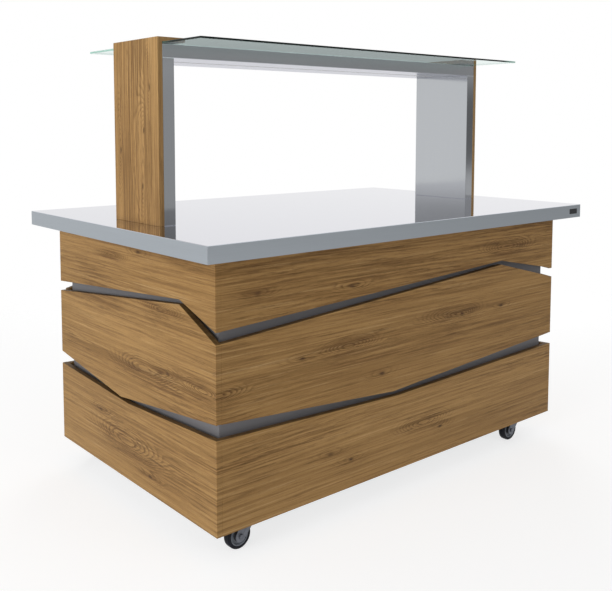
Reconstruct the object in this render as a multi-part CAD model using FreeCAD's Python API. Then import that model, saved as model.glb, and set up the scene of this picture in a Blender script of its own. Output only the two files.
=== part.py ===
import FreeCAD, Part
import math
import os

# A mobile serving counter: a flat steel worktop on a steel body clad in wooden boards, a steel portal that
# carries a glass shelf over the worktop, a small cooling unit in the body, and four swivel casters.
# Millimetres. X runs along the counter, -Y is its front, +Z is up.
# The origin is on the floor, under the centre of the worktop.

# ---- Worktop ----
TOP_LENGTH = 1720.0
TOP_WIDTH = 1110.0
TOP_HEIGHT = 900.0          # floor to the upper face
TOP_EDGE = 48.0             # height of the folded edge
TOP_SHEET = 1.5             # steel skin
TOP_LIP = 20.0              # the fold that holds the core board from below
TOP_CORNER_RADIUS = 3.0     # the four upright edges
TOP_EDGE_RADIUS = 2.0
COLD_PLATE = 3.0            # thickness of the cold plate, let into the core board
COLD_END_MARGIN = 92.0      # from a post's inner face to the cold plate
COLD_SIDE_MARGIN = 205.0    # from the worktop's long edge to the cold plate
BADGE_WIDTH = 50.0
BADGE_HEIGHT = 19.0
BADGE_INSET = 25.0          # from the worktop's right end
BADGE_CLEARANCE = 0.2

# ---- Cladding boards and the steel body behind them ----
OVERHANG = 72.0             # worktop beyond the cladding, all round
BOARD = 18.0                # cladding board thickness
BATTEN = 12.0               # space between the cladding and the steel body
BODY_SHEET = 1.5
SHADOW_GAP = 2.0            # between the worktop and the top boards
WHEEL_CLEARANCE = 3.0       # between the wheels' tops and the cladding
UPPER_GROOVE_CORNER = (199.0, 232.0)    # groove edges at a corner, down from the cladding's top
UPPER_GROOVE_PEAK = (137.0, 151.0)      # the same at the peak
LOWER_GROOVE_CORNER = (272.0, 315.0)    # groove edges at a corner, up from the cladding's bottom
LONG_VALLEY = (248.0, 265.0)            # the same at the valley of a long side
END_VALLEY = (248.0, 258.0)             # and at the valley of an end
LONG_PEAK_AT = 322.0        # from the corner on the right, seen from outside
END_PEAK_AT = 180.0
LONG_VALLEY_AT = (715.0, 690.0)         # lower and middle board, from the corner on the left
END_VALLEY_AT = (481.0, 431.0)
BATTEN_WIDTH = 50.0
BATTEN_MARGIN = 12.0        # the battens stop short of the grooves
LONG_BATTENS = 4
END_BATTENS = 3
BATTEN_INSET = 90.0         # first and last batten, from the corner

# ---- Frame ----
RAIL_HEIGHT = 40.0
BASE_RAIL_WIDTH = 50.0
UPRIGHT = 40.0
TUBE_WALL = 2.0
BASE_PLATE = 2.0
MIDDLE_RAIL_AT = 250.0      # the two inner cross rails, from the middle
SLOT_WIDTH = 8.0
SLOT_LENGTH = 240.0
SLOT_PITCH = 16.0

# ---- Portal and glass shelf ----
PORTAL_INSET = 112.0        # worktop's end to the portal's outer board
PORTAL_DEPTH = 272.0
OUTER_BOARD = 16.0
POST_WIDTH = 40.0
POST_WALL = 2.0
POST_FOOT = 5.0             # end plates of a post
WINDOW_HEIGHT = 502.0       # worktop to the beam
BEAM_HEIGHT = 40.0
GLASS = 6.0
GLASS_DEPTH = 676.0
GLASS_END_GAP = 1.0
PAD = 1.0                   # soft pads under and over the glass
PAD_WIDTH = 24.0
PAD_INSET = 16.0            # from the portal's front and back faces
POST_CAP = 13.0
CAP_WIDTH = 80.0            # from the post's outer face inwards
FOOT_BOLT_AT = 90.0         # from the portal's middle, front and back
FOOT_BOLT_RADIUS = 5.0
FOOT_BOLT_REACH = 8.0       # past the post's foot
BEAM_SCREW_AT = 60.0
BEAM_SCREW_RADIUS = 4.0
BOLT_CLEARANCE = 0.5
THREAD_CLEARANCE = 0.05
LIGHT_WIDTH = 20.0
LIGHT_FLANGE = 4.0          # each side, inside the beam
LIGHT_DEPTH = 8.0
LIGHT_MARGIN = 60.0         # from a post's inner face to the light bar
LIGHT_CLEARANCE = 0.2

# ---- Cooling unit ----
CONDENSER_FROM_END = 196.5  # from the frame's right end to the face towards the fan
COMPRESSOR_FROM_CONDENSER = 180.0
COMPRESSOR_RADIUS = 75.0
COMPRESSOR_HEIGHT = 170.0
COMPRESSOR_FEET = 15.0
FOOT_RADIUS = 10.0
FOOT_PLATE = (180.0, 142.0, 4.0)
FOOT_INSET = 14.0
PORT_LENGTH = 10.0
PORT_RADIUS = 6.0
SUCTION_RISE = 110.0        # height of the suction port over the cabinet's floor
DISCHARGE_RISE = 94.0
CONDENSER_THICKNESS = 60.0
CONDENSER_WIDTH = 300.0
CONDENSER_HEIGHT = 270.0
DUCT_RADIUS = 120.0
DUCT_LENGTH = 60.0
DUCT_WALL = 3.0
SHROUD = 4.0
MOTOR_RADIUS = 34.0
MOTOR_LENGTH = 28.0
MOTOR_BAR = 34.0            # width of the bar that carries the motor
SHAFT_RADIUS = 4.0
SHAFT_LENGTH = 26.0
FAN_HUB_RADIUS = 26.0
FAN_HUB_LENGTH = 18.0
FAN_HUB_INSET = 2.0         # from the shaft's end
FAN_BLADE_ROOT = 6.0        # a blade starts this deep inside the hub
FAN_TIP_GAP = 8.0
FAN_BLADES = 5
FAN_PITCH = 25.0            # degrees
FAN_CHORD = 46.0
FAN_BLADE = 2.5
RUNNING_CLEARANCE = 0.05
LINE_RADIUS = 4.0
LINE_WALL = 1.0
LINE_BEND = 25.0
LINE_OUT = 75.0             # how far a riser stands off the condenser's side
LINE_HOLE = 6.0
LIQUID_RISE = 243.0         # height of the liquid line over the cabinet's floor

# ---- Switch and cable gland ----
SWITCH_AT = 100.0           # from the back's left corner, seen from behind
SWITCH_FACE = (50.0, 27.0)
SWITCH_FACE_DEPTH = 2.0
SWITCH_BODY = (44.0, 23.0)
SWITCH_BODY_DEPTH = 22.0
ROCKER_RADIUS = 12.5
ROCKER_HEIGHT = 18.0
ROCKER_PIVOT_DEPTH = 7.0    # behind the steel body's face
ROCKER_CREST = 10.5         # from the pins out to the two raised edges
ROCKER_DIP = 8.0            # from the pins out to the hollow between them
ROCKER_BACK = 4.0           # from the pins to the drum's flat back
ROCKER_TILT = 8.0           # degrees, at rest
SWITCH_WALL = 4.0           # behind the rocker's pocket
ROCKER_PIN_RADIUS = 1.5
ROCKER_PIN_LENGTH = 1.7
ROCKER_GAP = 0.3
GLAND_FROM_END = 106.5      # from the frame's right end
GLAND_Y = -300.0
GLAND_BORE = 4.5
GLAND_THREAD = 9.5
GLAND_CAP = (24.0, 18.0)    # across flats, length
GLAND_NUT = (27.0, 5.0)
GLAND_THREAD_END = 8.0      # over the cabinet's floor

# ---- Casters ----
CASTER_INSET = 147.0        # swivel axis from the cladding's end
WHEEL_RADIUS = 40.0
WHEEL_WIDTH = 25.0
WHEEL_TRAIL = 39.0
CASTER_RISE = 26.0          # from the wheel's top to the base rails
TYRE_DEPTH = 10.0
TYRE_SHOULDER = 4.0
SWIVEL_GAP = 0.3
HEAD_RADIUS = 31.0
HEAD_FLANGE = 5.5
NECK_RADIUS = 11.0
NECK_FLANGE_RADIUS = 14.5
NECK_FLANGE = 3.0
CROWN_RADIUS = 30.0
CROWN_HEIGHT = 8.4
FORK_SHEET = 3.0
FORK_INSIDE = 31.0
FORK_END_RADIUS = 17.0
FORK_BEND = (-31.0, 1.0)    # where a leg's back edge turns outwards: from the axis, over the wheel's top
HUB_RADIUS = 11.0
CORE_WEB = 12.5             # thickness of the wheel's web
CORE_RIM = 4.0
CORE_INSET = 1.0            # the core's rim lies this far inside the tyre's side
AXLE_RADIUS = 6.0
AXLE_BOLT_RADIUS = 4.0
CASTER_BOLT_RADIUS = 6.0
PEDAL_PIVOT_OUT = 8.0       # from the tyre to the pedal's pin
PEDAL_PIVOT_ANGLE = 45.0    # degrees above level, seen from the axle
PEDAL_EAR_RADIUS = 6.0
PEDAL_PIN_RADIUS = 2.5
PEDAL_TREAD = (31.0, 9.0)   # from the pin to the tread's two ends
PEDAL_TREAD_WIDTH = 40.0
PEDAL_THICKNESS = 4.0
PEDAL_SHOE_OUT = 5.6        # from the tyre to the shoe's middle, brake off
PEDAL_SHOE_ANGLE = 26.0
PEDAL_SHOE_RADIUS = 1.3

# ---- Worked out ----
SKIN_X = TOP_LENGTH / 2
SKIN_Y = TOP_WIDTH / 2
EDGE_BOTTOM = TOP_HEIGHT - TOP_EDGE
CORE_BOTTOM = EDGE_BOTTOM + TOP_SHEET
CORE_TOP = TOP_HEIGHT - TOP_SHEET
CLAD_BOTTOM = 2 * WHEEL_RADIUS + WHEEL_CLEARANCE
CLAD_TOP = EDGE_BOTTOM - SHADOW_GAP
CLAD_X = SKIN_X - OVERHANG
CLAD_Y = SKIN_Y - OVERHANG
BODY_X = CLAD_X - BOARD - BATTEN        # outer faces of the steel body
BODY_Y = CLAD_Y - BOARD - BATTEN
FRAME_X = BODY_X - BODY_SHEET           # outer faces of the frame
FRAME_Y = BODY_Y - BODY_SHEET
CASTER_HEIGHT = 2 * WHEEL_RADIUS + CASTER_RISE
BASE_TOP = CASTER_HEIGHT + RAIL_HEIGHT
FLOOR_TOP = BASE_TOP + BASE_PLATE
TOP_RAIL_BOTTOM = CORE_BOTTOM - RAIL_HEIGHT
PORTAL_X = SKIN_X - PORTAL_INSET        # outer faces of the portal's boards
POST_X = PORTAL_X - OUTER_BOARD         # outer faces of the posts
POST_INNER_X = POST_X - POST_WIDTH
POST_MIDDLE_X = POST_X - POST_WIDTH / 2
PORTAL_Y = PORTAL_DEPTH / 2
BEAM_BOTTOM = TOP_HEIGHT + WINDOW_HEIGHT
BEAM_TOP = BEAM_BOTTOM + BEAM_HEIGHT
GLASS_BOTTOM = BEAM_TOP + PAD
CAP_BOTTOM = GLASS_BOTTOM + GLASS + PAD
PORTAL_TOP = CAP_BOTTOM + POST_CAP
COLD_X = POST_INNER_X - COLD_END_MARGIN
COLD_Y = SKIN_Y - COLD_SIDE_MARGIN
COLD_BOTTOM = CORE_TOP - COLD_PLATE
CASTER_X = CLAD_X - CASTER_INSET
CASTER_Y = FRAME_Y - BASE_RAIL_WIDTH / 2
CONDENSER_AT = FRAME_X - CONDENSER_FROM_END
COMPRESSOR_AT = CONDENSER_AT - COMPRESSOR_FROM_CONDENSER
GLAND_AT = (FRAME_X - GLAND_FROM_END, GLAND_Y)
FAN_Z = FLOOR_TOP + CONDENSER_HEIGHT / 2
RISER_Y = CONDENSER_WIDTH / 2 + LINE_OUT
CONDENSER_LINE_X = CONDENSER_AT + CONDENSER_THICKNESS / 3
MOTOR_BACK = CONDENSER_AT - 2 * SHROUD
SHAFT_END = MOTOR_BACK - MOTOR_LENGTH - SHAFT_LENGTH

SIDES = (-1, 1)
V = FreeCAD.Vector
nodes = {}


def block(x, y, z):
    """A box from three (low, high) pairs."""
    return Part.makeBox(x[1] - x[0], y[1] - y[0], z[1] - z[0], V(x[0], y[0], z[0]))


def about(middle, size):
    """The (low, high) pair of a size about its middle."""
    return (middle - size / 2, middle + size / 2)


def beside(side, inner, outer):
    """The (low, high) pair from inner to outer on one side of the middle plane."""
    return tuple(sorted((side * inner, side * outer)))


def rod(radius, start, end):
    """A round bar between two points."""
    start, end = V(*start), V(*end)
    return Part.makeCylinder(radius, (end - start).Length, start, end - start)


def hexagon(across_flats, start, end):
    """A hexagonal prism between two points on an axis that runs along Y or Z."""
    start, end = V(*start), V(*end)
    across, up = V(1, 0, 0), (end - start).normalize().cross(V(1, 0, 0))
    reach = across_flats / math.sqrt(3)
    turns = [math.radians(60 * i) for i in range(7)]
    corners = [start + across * (reach * math.cos(a)) + up * (reach * math.sin(a)) for a in turns]
    return Part.Face(Part.makePolygon(corners)).extrude(end - start)


def square_tube(x, y, z, along):
    """A frame tube, open at its two ends along X, Y or Z."""
    inside = [(low + TUBE_WALL, high - TUBE_WALL) for low, high in (x, y, z)]
    inside["XYZ".index(along)] = (x, y, z)["XYZ".index(along)]
    return block(x, y, z).cut(block(*inside))


def four(x, y):
    """The four points (+-x, +-y)."""
    return [(i * x, j * y) for i in SIDES for j in SIDES]


def group(solids):
    return Part.makeCompound(list(solids))


# ---- Worktop: a folded steel skin, filled by a core board with the cold plate let into it ----

def risers():
    """Where the two refrigerant lines rise to the cold plate."""
    return [(COMPRESSOR_AT, RISER_Y), (CONDENSER_LINE_X, RISER_Y)]


def badge_place(clearance):
    """The badge's place along X and Z in the worktop's front edge."""
    x = about(SKIN_X - BADGE_INSET - BADGE_WIDTH / 2, BADGE_WIDTH + 2 * clearance)
    z = about(TOP_HEIGHT - TOP_EDGE / 2, BADGE_HEIGHT + 2 * clearance)
    return x, z


def worktop_skin():
    skin = block((-SKIN_X, SKIN_X), (-SKIN_Y, SKIN_Y), (EDGE_BOTTOM, TOP_HEIGHT))
    upright_edges = [e for e in skin.Edges if e.BoundBox.ZLength > TOP_EDGE / 2]
    skin = skin.makeFillet(TOP_CORNER_RADIUS, upright_edges)
    rim = [e for e in skin.Edges if e.BoundBox.ZMin > TOP_HEIGHT - 0.01]
    skin = skin.makeFillet(TOP_EDGE_RADIUS, rim)
    x, y = SKIN_X - TOP_SHEET, SKIN_Y - TOP_SHEET
    skin = skin.cut(block((-x, x), (-y, y), (CORE_BOTTOM, CORE_TOP)))
    x, y = SKIN_X - TOP_LIP, SKIN_Y - TOP_LIP
    skin = skin.cut(block((-x, x), (-y, y), (EDGE_BOTTOM, CORE_BOTTOM)))
    x, z = badge_place(BADGE_CLEARANCE)
    skin = skin.cut(block(x, (-SKIN_Y, TOP_SHEET - SKIN_Y), z))
    hole = FOOT_BOLT_RADIUS + BOLT_CLEARANCE
    feet = four(POST_MIDDLE_X, FOOT_BOLT_AT)
    return skin.cut([rod(hole, (x, y, CORE_TOP), (x, y, TOP_HEIGHT)) for x, y in feet])


def worktop_core():
    x, y = SKIN_X - TOP_SHEET, SKIN_Y - TOP_SHEET
    core = block((-x, x), (-y, y), (CORE_BOTTOM, CORE_TOP))
    core = core.cut(block((-COLD_X, COLD_X), (-COLD_Y, COLD_Y), (COLD_BOTTOM, CORE_TOP)))
    hole = FOOT_BOLT_RADIUS + BOLT_CLEARANCE
    holes = [rod(hole, (x, y, CORE_BOTTOM), (x, y, CORE_TOP)) for x, y in four(POST_MIDDLE_X, FOOT_BOLT_AT)]
    holes += [rod(LINE_HOLE, (x, y, CORE_BOTTOM), (x, y, COLD_BOTTOM)) for x, y in risers()]
    return core.cut(holes)


def badge_plate():
    x, z = badge_place(0)
    return block(x, (-SKIN_Y, TOP_SHEET - SKIN_Y), z)


nodes["worktop_skin"] = worktop_skin()
nodes["worktop_core"] = worktop_core()
nodes["cold_plate"] = block((-COLD_X, COLD_X), (-COLD_Y, COLD_Y), (COLD_BOTTOM, CORE_TOP))
nodes["badge_plate"] = badge_plate()


# ---- Cladding: three boards high on each side, with a bent, tapered groove between each two ----
# A board's edge is a list of (u, z), where u runs from the left corner to the right, seen from outside.

def side_lines(length, peak_at, valley, valley_at):
    """The six board edges of one side, from the bottom up, in pairs of one board's lower and upper edge."""
    def bent(corner, at, bend):
        return [(0.0, corner), (at, bend), (length, corner)]

    up, down = CLAD_BOTTOM, CLAD_TOP
    return [
        ([(0.0, up), (length, up)], bent(up + LOWER_GROOVE_CORNER[0], valley_at[0], up + valley[0])),
        (bent(up + LOWER_GROOVE_CORNER[1], valley_at[1], up + valley[1]),
         bent(down - UPPER_GROOVE_CORNER[1], length - peak_at, down - UPPER_GROOVE_PEAK[1])),
        (bent(down - UPPER_GROOVE_CORNER[0], length - peak_at, down - UPPER_GROOVE_PEAK[0]),
         [(0.0, down), (length, down)]),
    ]


def height_at(line, u):
    """The height of a board edge at u."""
    for (u0, z0), (u1, z1) in zip(line, line[1:]):
        if u0 <= u <= u1:
            return z0 + (z1 - z0) * (u - u0) / (u1 - u0)


def trimmed(line, margin):
    """A board edge without its first and last stretch."""
    length = line[-1][0]
    inner = [(u, z) for u, z in line if margin < u < length - margin]
    return [(margin, height_at(line, margin))] + inner + [(length - margin, height_at(line, length - margin))]


def board(lower, upper, place, through):
    """A board with these edges; place turns (u, z) into a point on its outer face."""
    outline = [place(u, z) for u, z in lower + upper[::-1]]
    return Part.Face(Part.makePolygon(outline + outline[:1])).extrude(through)


def half_turned(shape):
    """The same shape on the opposite side of the counter."""
    turned = shape.copy()
    turned.rotate(V(0, 0, 0), V(0, 0, 1), 180)
    return turned


def front_point(u, z):
    return V(u - CLAD_X, -CLAD_Y, z)


def left_point(u, z):
    return V(-CLAD_X, CLAD_Y - u, z)


LONG_LINES = side_lines(2 * CLAD_X, LONG_PEAK_AT, LONG_VALLEY, LONG_VALLEY_AT)
END_LINES = side_lines(2 * CLAD_Y, END_PEAK_AT, END_VALLEY, END_VALLEY_AT)

for tier, (lower, upper), (end_lower, end_upper) in zip(("lower", "middle", "top"), LONG_LINES, END_LINES):
    long_board = board(trimmed(lower, BOARD), trimmed(upper, BOARD), front_point, V(0, BOARD, 0))
    end_board = board(end_lower, end_upper, left_point, V(BOARD, 0, 0))
    nodes[f"cladding_{tier}_front"] = long_board
    nodes[f"cladding_{tier}_back"] = half_turned(long_board)
    nodes[f"cladding_{tier}_left"] = end_board
    nodes[f"cladding_{tier}_right"] = half_turned(end_board)


def spread(half, count):
    """Evenly spaced places from -half to half."""
    return [half * (2 * i / (count - 1) - 1) for i in range(count)]


def battens():
    """Short upright battens between the cladding and the steel body, hidden behind each board."""
    solids = []
    for (lower, upper), (end_lower, end_upper) in zip(LONG_LINES, END_LINES):
        bottom = max([z + BATTEN_MARGIN for u, z in lower + end_lower] + [CASTER_HEIGHT])
        top = min(z for u, z in upper + end_upper) - BATTEN_MARGIN
        for side in SIDES:
            depth_x, depth_y = beside(side, BODY_X, BODY_X + BATTEN), beside(side, BODY_Y, BODY_Y + BATTEN)
            for x in spread(CLAD_X - BATTEN_INSET, LONG_BATTENS):
                solids.append(block(about(x, BATTEN_WIDTH), depth_y, (bottom, top)))
            for y in spread(CLAD_Y - BATTEN_INSET, END_BATTENS):
                solids.append(block(depth_x, about(y, BATTEN_WIDTH), (bottom, top)))
    return group(solids)


nodes["cladding_battens"] = battens()


# ---- Steel body and frame ----

def switch_place():
    """The switch's middle along X and Z, in the back's lower groove."""
    lower, upper = height_at(LONG_LINES[0][1], SWITCH_AT), height_at(LONG_LINES[1][0], SWITCH_AT)
    return CLAD_X - SWITCH_AT, (lower + upper) / 2


def body_sheets_long():
    """The front and back sheets; the back one has the switch's cut-out."""
    z = (CASTER_HEIGHT, CORE_BOTTOM)
    front = block((-BODY_X, BODY_X), beside(-1, FRAME_Y, BODY_Y), z)
    back = block((-BODY_X, BODY_X), beside(1, FRAME_Y, BODY_Y), z)
    x, height = switch_place()
    hole = block(about(x, SWITCH_BODY[0]), (FRAME_Y, BODY_Y), about(height, SWITCH_BODY[1]))
    return group([front, back.cut(hole)])


def body_sheets_end():
    z = (CASTER_HEIGHT, CORE_BOTTOM)
    return group(block(beside(side, FRAME_X, BODY_X), (-FRAME_Y, FRAME_Y), z) for side in SIDES)


def base_rails():
    """Two long tubes, drilled for the caster bolts, and four cross tubes."""
    z = (CASTER_HEIGHT, BASE_TOP)
    inner_y = FRAME_Y - BASE_RAIL_WIDTH
    hole = CASTER_BOLT_RADIUS + BOLT_CLEARANCE
    solids = []
    for side in SIDES:
        rail = square_tube((-FRAME_X, FRAME_X), beside(side, inner_y, FRAME_Y), z, "X")
        y = side * CASTER_Y
        drills = [rod(hole, (x, y, z[0]), (x, y, z[1])) for x in (-CASTER_X, CASTER_X)]
        solids.append(rail.cut(drills))
        end = beside(side, FRAME_X - BASE_RAIL_WIDTH, FRAME_X)
        solids.append(square_tube(end, (-inner_y, inner_y), z, "Y"))
        middle = about(side * MIDDLE_RAIL_AT, BASE_RAIL_WIDTH)
        solids.append(square_tube(middle, (-inner_y, inner_y), z, "Y"))
    return group(solids)


def uprights():
    """Four corner tubes from the base rails to the top rails."""
    return group(
        square_tube(beside(i, FRAME_X - UPRIGHT, FRAME_X), beside(j, FRAME_Y - UPRIGHT, FRAME_Y),
                    (BASE_TOP, TOP_RAIL_BOTTOM), "Z")
        for i in SIDES for j in SIDES)


def top_rails():
    """Two long tubes, and two cross tubes that take the posts' bolts."""
    z = (TOP_RAIL_BOTTOM, CORE_BOTTOM)
    inner_y = FRAME_Y - UPRIGHT
    hole = FOOT_BOLT_RADIUS + BOLT_CLEARANCE
    solids = []
    for side in SIDES:
        solids.append(square_tube((-FRAME_X, FRAME_X), beside(side, inner_y, FRAME_Y), z, "X"))
        cross = square_tube(beside(side, POST_INNER_X, POST_X), (-inner_y, inner_y), z, "Y")
        x = side * POST_MIDDLE_X
        drills = [rod(hole, (x, y, z[0]), (x, y, z[1])) for y in (-FOOT_BOLT_AT, FOOT_BOLT_AT)]
        solids.append(cross.cut(drills))
    return group(solids)


def air_slots(first, last):
    """Slots in the base plate between two places along X."""
    count = int((last - first) // SLOT_PITCH)
    middles = [first + SLOT_PITCH * (i + 0.5) for i in range(count)]
    z = (BASE_TOP, FLOOR_TOP)
    return [block(about(x, SLOT_WIDTH), about(0, SLOT_LENGTH), z) for x in middles]


def base_plate():
    """The cabinet's floor, with air slots on both sides of the cooling unit and the gland's hole."""
    y = FRAME_Y - UPRIGHT
    plate = block((-FRAME_X, FRAME_X), (-y, y), (BASE_TOP, FLOOR_TOP))
    intake = air_slots(CONDENSER_AT + CONDENSER_THICKNESS, FRAME_X - BASE_RAIL_WIDTH)
    outlet = air_slots(0, MIDDLE_RAIL_AT - BASE_RAIL_WIDTH)
    gland = rod(GLAND_THREAD + THREAD_CLEARANCE, (*GLAND_AT, BASE_TOP), (*GLAND_AT, FLOOR_TOP))
    return plate.cut(intake + outlet + [gland])


nodes["body_sheets_long"] = body_sheets_long()
nodes["body_sheets_end"] = body_sheets_end()
nodes["base_rails"] = base_rails()
nodes["uprights"] = uprights()
nodes["top_rails"] = top_rails()
nodes["base_plate"] = base_plate()


# ---- Portal: two posts, a beam on them, outer boards, and the glass shelf between pads ----

def post(side):
    """A closed box tube with thick end plates, drilled for the foot bolts and the beam screws."""
    x, y = beside(side, POST_INNER_X, POST_X), (-PORTAL_Y, PORTAL_Y)
    inside_x, inside_y = (x[0] + POST_WALL, x[1] - POST_WALL), (y[0] + POST_WALL, y[1] - POST_WALL)
    z = (TOP_HEIGHT, BEAM_BOTTOM)
    inside_z = (z[0] + POST_FOOT, z[1] - POST_FOOT)
    middle = side * POST_MIDDLE_X
    holes = []
    for end in SIDES:
        radius, at = FOOT_BOLT_RADIUS + THREAD_CLEARANCE, end * FOOT_BOLT_AT
        holes.append(rod(radius, (middle, at, z[0]), (middle, at, inside_z[0])))
        radius, at = BEAM_SCREW_RADIUS + THREAD_CLEARANCE, end * BEAM_SCREW_AT
        holes.append(rod(radius, (middle, at, inside_z[1]), (middle, at, z[1])))
    return block(x, y, z).cut([block(inside_x, inside_y, inside_z)] + holes)


def beam():
    """A box beam over both posts, with a slot for the light bar in its underside."""
    wall = POST_WALL
    x, y, z = (-POST_X, POST_X), (-PORTAL_Y, PORTAL_Y), (BEAM_BOTTOM, BEAM_TOP)
    inside = [(low + wall, high - wall) for low, high in (x, y, z)]
    length = 2 * (POST_INNER_X - LIGHT_MARGIN + LIGHT_CLEARANCE)
    slot = block(about(0, length), about(0, LIGHT_WIDTH + 2 * LIGHT_CLEARANCE), (z[0], z[0] + wall))
    hole = BEAM_SCREW_RADIUS + BOLT_CLEARANCE
    drills = [rod(hole, (i, j, z[0]), (i, j, z[0] + wall)) for i, j in four(POST_MIDDLE_X, BEAM_SCREW_AT)]
    return block(x, y, z).cut([block(*inside), slot] + drills)


def light_bar():
    """A light strip, flush in the beam's underside, that rests on the slot's edges by two flanges."""
    x = about(0, 2 * (POST_INNER_X - LIGHT_MARGIN))
    lens = block(x, about(0, LIGHT_WIDTH), (BEAM_BOTTOM, BEAM_BOTTOM + POST_WALL))
    seat = (BEAM_BOTTOM + POST_WALL, BEAM_BOTTOM + LIGHT_DEPTH)
    return lens.fuse(block(x, about(0, LIGHT_WIDTH + 2 * LIGHT_FLANGE), seat)).removeSplitter()


def glass_pads():
    """Three pads between beam and glass, and one under each post cap."""
    y = (PAD_INSET - PORTAL_Y, PORTAL_Y - PAD_INSET)
    below, above = (BEAM_TOP, GLASS_BOTTOM), (GLASS_BOTTOM + GLASS, CAP_BOTTOM)
    ends = (-POST_MIDDLE_X, POST_MIDDLE_X)
    solids = [block(about(x, PAD_WIDTH), y, below) for x in (*ends, 0)]
    return group(solids + [block(about(x, PAD_WIDTH), y, above) for x in ends])


def portal_bolts():
    """Bolts from below through the top rails and the worktop into the posts; screws from beam to posts."""
    solids = []
    for x, y in four(POST_MIDDLE_X, FOOT_BOLT_AT):
        radius, low = FOOT_BOLT_RADIUS, TOP_RAIL_BOTTOM
        shank = rod(radius, (x, y, low), (x, y, TOP_HEIGHT + POST_FOOT + FOOT_BOLT_REACH))
        solids.append(shank.fuse(hexagon(3.4 * radius, (x, y, low - 1.3 * radius), (x, y, low))))
    for x, y in four(POST_MIDDLE_X, BEAM_SCREW_AT):
        radius, seat = BEAM_SCREW_RADIUS, BEAM_BOTTOM + POST_WALL
        shank = rod(radius, (x, y, BEAM_BOTTOM - 2 * POST_FOOT), (x, y, seat))
        solids.append(shank.fuse(rod(1.6 * radius, (x, y, seat), (x, y, seat + 1.2 * radius))))
    return group(solids)


for side, name in zip(SIDES, ("left", "right")):
    nodes[f"post_{name}"] = post(side)
    nodes[f"portal_board_{name}"] = block(beside(side, POST_X, PORTAL_X), (-PORTAL_Y, PORTAL_Y),
                                          (TOP_HEIGHT, PORTAL_TOP))
nodes["post_caps"] = group(
    block(beside(side, POST_X - CAP_WIDTH, POST_X), (-PORTAL_Y, PORTAL_Y), (CAP_BOTTOM, PORTAL_TOP))
    for side in SIDES)
nodes["beam"] = beam()
nodes["light_bar"] = light_bar()
nodes["glass_shelf"] = block(about(0, 2 * (POST_X - GLASS_END_GAP)), about(0, GLASS_DEPTH),
                             (GLASS_BOTTOM, GLASS_BOTTOM + GLASS))
nodes["glass_pads"] = glass_pads()
nodes["portal_bolts"] = portal_bolts()


# ---- Cooling unit: compressor, condenser with a fan in a duct, and the lines to the cold plate ----

PORT_HEIGHTS = (FLOOR_TOP + DISCHARGE_RISE, FLOOR_TOP + SUCTION_RISE)


def compressor():
    """A domed steel shell on a foot plate and four rubber feet, with its discharge and suction ports."""
    x, low = COMPRESSOR_AT, FLOOR_TOP + COMPRESSOR_FEET
    length, width, thickness = FOOT_PLATE
    shell = rod(COMPRESSOR_RADIUS, (x, 0, low), (x, 0, FLOOR_TOP + COMPRESSOR_HEIGHT))
    rim = [e for e in shell.Edges if e.BoundBox.ZMin > low + thickness]
    shell = shell.makeFillet(COMPRESSOR_RADIUS / 2, rim)
    parts = [block(about(x, length), about(0, width), (low, low + thickness))]
    for dx, dy in four(length / 2 - FOOT_INSET, width / 2 - FOOT_INSET):
        parts.append(rod(FOOT_RADIUS, (x + dx, dy, FLOOR_TOP), (x + dx, dy, low)))
    for side, z in zip(SIDES, PORT_HEIGHTS):
        parts.append(rod(PORT_RADIUS, (x, 0, z), (x, side * (COMPRESSOR_RADIUS + PORT_LENGTH), z)))
    return shell.fuse(parts).removeSplitter()


def fan_axis(x):
    """A point on the axis of the fan and its motor."""
    return (x, 0, FAN_Z)


def condenser():
    """A finned block with its shroud, fan duct, motor on a bar across the duct, and shaft."""
    face = CONDENSER_AT
    y, z = about(0, CONDENSER_WIDTH), (FLOOR_TOP, FLOOR_TOP + CONDENSER_HEIGHT)
    fins = block((face, face + CONDENSER_THICKNESS), y, z)
    hole = rod(DUCT_RADIUS, fan_axis(face - DUCT_LENGTH), fan_axis(face))
    shroud = block((face - SHROUD, face), y, z).cut(hole)
    duct = rod(DUCT_RADIUS + DUCT_WALL, fan_axis(face - DUCT_LENGTH), fan_axis(face)).cut(hole)
    bar = block((MOTOR_BACK, face - SHROUD), about(0, MOTOR_BAR), about(FAN_Z, 2 * DUCT_RADIUS + DUCT_WALL))
    motor = rod(MOTOR_RADIUS, fan_axis(MOTOR_BACK - MOTOR_LENGTH), fan_axis(MOTOR_BACK))
    shaft = rod(SHAFT_RADIUS, fan_axis(SHAFT_END), fan_axis(MOTOR_BACK - MOTOR_LENGTH))
    return fins.fuse([shroud, duct, bar, motor, shaft]).removeSplitter()


def fan_rotor():
    """A hub on the motor's shaft with pitched blades."""
    start, end = SHAFT_END + FAN_HUB_INSET, SHAFT_END + FAN_HUB_INSET + FAN_HUB_LENGTH
    middle = V(*fan_axis((start + end) / 2))
    blade_z = (FAN_Z + FAN_HUB_RADIUS - FAN_BLADE_ROOT, FAN_Z + DUCT_RADIUS - FAN_TIP_GAP)
    blades = []
    for i in range(FAN_BLADES):
        blade = block(about(middle.x, FAN_BLADE), about(0, FAN_CHORD), blade_z)
        blade.rotate(middle, V(0, 0, 1), FAN_PITCH)
        blade.rotate(middle, V(1, 0, 0), 360.0 * i / FAN_BLADES)
        blades.append(blade)
    hub = rod(FAN_HUB_RADIUS, fan_axis(start), fan_axis(end))
    return hub.fuse(blades).cut(rod(SHAFT_RADIUS + RUNNING_CLEARANCE, fan_axis(start), fan_axis(end)))


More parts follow.
